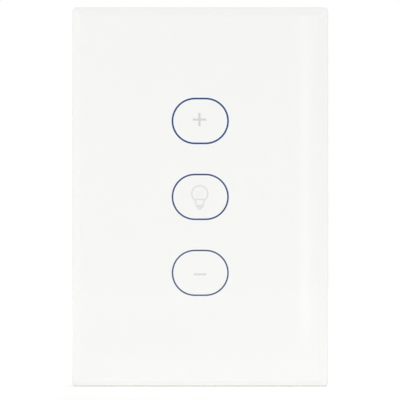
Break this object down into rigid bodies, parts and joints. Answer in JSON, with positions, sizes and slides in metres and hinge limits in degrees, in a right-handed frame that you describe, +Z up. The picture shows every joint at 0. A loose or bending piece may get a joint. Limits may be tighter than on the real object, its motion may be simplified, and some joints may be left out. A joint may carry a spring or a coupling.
{
  "type": "smart dimmer switch",
  "caption": "Smart touch dimmer switch: bevelled white glass plate with touch keys that pulls off a wall-box mechanism with wireless control and rising-clamp terminals.",
  "frame": {"origin": "centre of the plate in the plane of the wall, which is the back face of the mounting frame", "axes": "+Z up along the plate, +Y into the wall, +X to the right seen from the front; the glass faces -Y"},
  "size_m": [0.081, 0.0377, 0.12],
  "materials": {
    "white_glass": "back-coated clear glass with a white coat, polished, ground bevel",
    "outline_enamel_dark": "dark indigo line, filled flush into the glass",
    "outline_enamel": "indigo line, a little paler, filled flush into the glass",
    "outline_enamel_pale": "grey-indigo line, palest, filled flush into the glass",
    "foam_tape": "matte white foam tape",
    "frame_plastic": "fine satin moulded white plastic",
    "light_guide": "frosted light-guide plastic",
    "mounting_plastic": "fine-textured moulded grey plastic",
    "housing_plastic": "fine-textured moulded off-white plastic",
    "circuit_board": "green solder mask over glass-fibre board",
    "spring_steel": "bright plated spring wire",
    "led_resin": "clear yellowish resin",
    "chip_epoxy": "black moulded epoxy",
    "tinned_steel": "tinned sheet steel",
    "header_plastic": "black moulded plastic",
    "terminal_plastic": "dark grey moulded plastic",
    "contact_brass": "bright brass strip",
    "zinc_steel": "zinc-plated steel",
    "sink_aluminium": "extruded aluminium",
    "ferrite": "sintered ferrite, matte dark grey",
    "copper_wire": "enamelled copper winding",
    "coil_wrap": "yellow winding tape",
    "film_case": "brown-orange moulded case",
    "capacitor_sleeve": "dark shrink sleeve",
    "fuse_ceramic": "pale ceramic tube with plated caps",
    "varistor_coating": "blue dipped epoxy coat"
  },
  "bodies": {
    "base": {"mounting_frame": "mounting_plastic", "rear_housing": "housing_plastic", "touch_board": "circuit_board", "power_board": "circuit_board", "wireless_module": "circuit_board", "touch_controller": "chip_epoxy", "rectifier": "chip_epoxy", "transformer_base": "chip_epoxy", "wireless_shield": "tinned_steel", "board_plug": "header_plastic", "board_socket": "header_plastic", "terminal_block": "terminal_plastic", "heat_sink": "sink_aluminium", "choke_core": "ferrite", "transformer_core": "ferrite", "choke_coil": "copper_wire", "transformer_coil": "coil_wrap", "film_capacitor": "film_case", "fuse": "fuse_ceramic", "varistor": "varistor_coating", "touch_spring_top": "spring_steel", "led_top_left": "led_resin", "led_top_right": "led_resin", "touch_spring_middle": "spring_steel", "led_middle_left": "led_resin", "led_middle_right": "led_resin", "touch_spring_bottom": "spring_steel", "led_bottom_left": "led_resin", "led_bottom_right": "led_resin", "power_transistor_left": "chip_epoxy", "bulk_capacitor_left": "capacitor_sleeve", "power_transistor_right": "chip_epoxy", "bulk_capacitor_right": "capacitor_sleeve", "board_screw_1": "zinc_steel", "housing_screw_1": "zinc_steel", "board_screw_2": "zinc_steel", "housing_screw_2": "zinc_steel", "board_screw_3": "zinc_steel", "housing_screw_3": "zinc_steel", "board_screw_4": "zinc_steel", "housing_screw_4": "zinc_steel", "line_contact": "contact_brass", "neutral_contact": "contact_brass", "lamp_contact": "contact_brass"},
    "front_panel": {"glass_panel": "white_glass", "key_outline_top": "outline_enamel_dark", "key_outline_middle": "outline_enamel", "key_outline_bottom": "outline_enamel_pale", "glass_tape": "foam_tape", "panel_frame": "frame_plastic", "light_guide_top": "light_guide", "light_guide_middle": "light_guide", "light_guide_bottom": "light_guide"},
    "line_screw_body": {"line_screw": "zinc_steel"},
    "line_clamp_body": {"line_clamp": "zinc_steel"},
    "neutral_screw_body": {"neutral_screw": "zinc_steel"},
    "neutral_clamp_body": {"neutral_clamp": "zinc_steel"},
    "lamp_screw_body": {"lamp_screw": "zinc_steel"},
    "lamp_clamp_body": {"lamp_clamp": "zinc_steel"}
  },
  "joints": [
    {"name": "panel_pull", "type": "slide", "parent": "base", "child": "front_panel", "axis": [0, -1, 0], "range_m": [0, 0.02]},
    {"name": "line_screw_turn", "type": "hinge", "parent": "base", "child": "line_screw_body", "pos_m": [-0.0086, 0.0134, 0.02873], "axis": [0, -1, 0], "range_deg": [0, 2160]},
    {"name": "line_clamp_rise", "type": "slide", "parent": "base", "child": "line_clamp_body", "axis": [0, 1, 0], "range_m": [0, 0.003]},
    {"name": "neutral_screw_turn", "type": "hinge", "parent": "base", "child": "neutral_screw_body", "pos_m": [0, 0.0134, 0.02873], "axis": [0, -1, 0], "range_deg": [0, 2160]},
    {"name": "neutral_clamp_rise", "type": "slide", "parent": "base", "child": "neutral_clamp_body", "axis": [0, 1, 0], "range_m": [0, 0.003]},
    {"name": "lamp_screw_turn", "type": "hinge", "parent": "base", "child": "lamp_screw_body", "pos_m": [0.0086, 0.0134, 0.02873], "axis": [0, -1, 0], "range_deg": [0, 2160]},
    {"name": "lamp_clamp_rise", "type": "slide", "parent": "base", "child": "lamp_clamp_body", "axis": [0, 1, 0], "range_m": [0, 0.003]}
  ],
  "couplings": [
    {"joint": "line_screw_turn", "follows": "line_clamp_rise", "rad_per_m": 12566},
    {"joint": "neutral_screw_turn", "follows": "neutral_clamp_rise", "rad_per_m": 12566},
    {"joint": "lamp_screw_turn", "follows": "lamp_clamp_rise", "rad_per_m": 12566}
  ]
}
